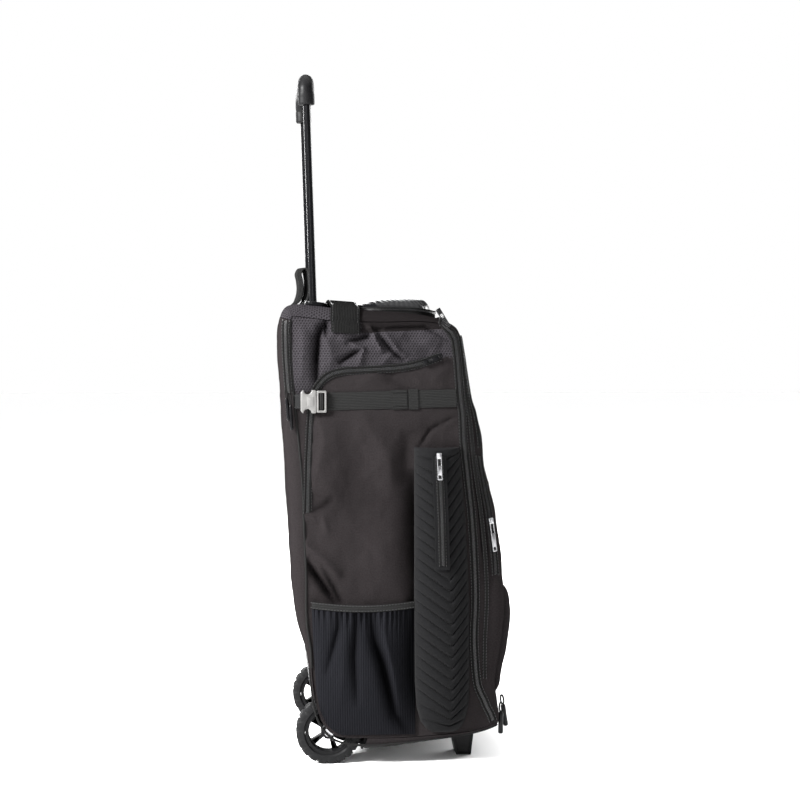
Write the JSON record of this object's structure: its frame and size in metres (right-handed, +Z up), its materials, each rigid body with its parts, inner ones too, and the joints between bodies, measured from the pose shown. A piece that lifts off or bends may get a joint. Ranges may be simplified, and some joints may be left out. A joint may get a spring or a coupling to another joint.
{
  "type": "wheeled catcher bag",
  "caption": "Upright wheeled sports bag with a telescoping handle, ribbed bat sleeves, elastic side pockets, a zipped front flap and front feet.",
  "frame": {"origin": "on the floor under the middle of the bag's overall box", "axes": "+X to the bag's right seen from behind, -Y to its front flap, +Y to its wheels, +Z up"},
  "size_m": [0.4294, 0.368, 1.0602],
  "materials": {
    "mesh_cloth": "hexagon mesh over padding, matte",
    "plain_cloth": "plain woven, matte",
    "stretch_cloth": "fine ribbed stretch cloth",
    "neoprene": "ribbed, slightly sheeny",
    "webbing": "woven webbing",
    "zip": "coil zip on woven tape",
    "gloss_black": "glossy",
    "tube": "glossy black coat",
    "matte_black": "moulded, satin",
    "tyre": "matte rubber with lugs",
    "rubber": "matte",
    "buckle": "satin light grey",
    "steel": "satin"
  },
  "bodies": {
    "bag": {"top_panel": "mesh_cloth", "back_panel": "plain_cloth", "front_flap": "plain_cloth", "side_panel_left": "plain_cloth", "side_panel_right": "plain_cloth", "front_pocket_upper": "plain_cloth", "front_pocket_lower": "plain_cloth", "elastic_pocket_left": "stretch_cloth", "elastic_pocket_right": "stretch_cloth", "bat_sleeve_left": "neoprene", "bat_sleeve_right": "neoprene", "pocket_binding_left": "webbing", "pocket_binding_right": "webbing", "strap_left": "webbing", "strap_right": "webbing", "grab_handle": "webbing", "haul_loop": "webbing", "main_zip": "zip", "side_zip_left": "zip", "side_zip_right": "zip", "back_zip_left": "zip", "back_zip_right": "zip", "sleeve_zip_left": "zip", "sleeve_zip_right": "zip", "pocket_zip": "zip", "lid_zip": "zip", "lid_pod": "gloss_black", "side_pull_left": "gloss_black", "side_pull_right": "gloss_black", "main_pull_left": "gloss_black", "main_pull_right": "gloss_black", "back_pull_left": "gloss_black", "back_pull_right": "gloss_black", "lid_pull": "gloss_black", "handle_bezel": "gloss_black", "base_tub": "matte_black", "tube_guide_left": "matte_black", "tube_guide_right": "matte_black", "wheel_housing_left": "matte_black", "wheel_housing_right": "matte_black", "foot_left": "matte_black", "foot_right": "matte_black", "strap_tab_left": "rubber", "strap_tab_right": "rubber", "buckle_socket_left": "buckle", "buckle_socket_right": "buckle", "buckle_plug_left": "buckle", "buckle_plug_right": "buckle", "sleeve_pull_left": "steel", "sleeve_pull_right": "steel", "pocket_pull": "steel", "axle_left": "steel", "axle_right": "steel"},
    "handle": {"handle_grip": "matte_black", "handle_tube_left": "tube", "handle_tube_right": "tube"},
    "wheel_left": {"tyre_left": "tyre", "rim_left": "matte_black"},
    "wheel_right": {"tyre_right": "tyre", "rim_right": "matte_black"}
  },
  "joints": [
    {"name": "handle_slide", "type": "slide", "parent": "bag", "child": "handle", "axis": [0, 0.033, 0.9995], "range_m": [-0.27, 0]},
    {"name": "wheel_left_spin", "type": "hinge", "parent": "bag", "child": "wheel_left", "pos_m": [-0.147, 0.108, 0.0498], "axis": [1, 0, 0], "continuous": true},
    {"name": "wheel_right_spin", "type": "hinge", "parent": "bag", "child": "wheel_right", "pos_m": [0.147, 0.108, 0.0498], "axis": [1, 0, 0], "continuous": true}
  ]
}
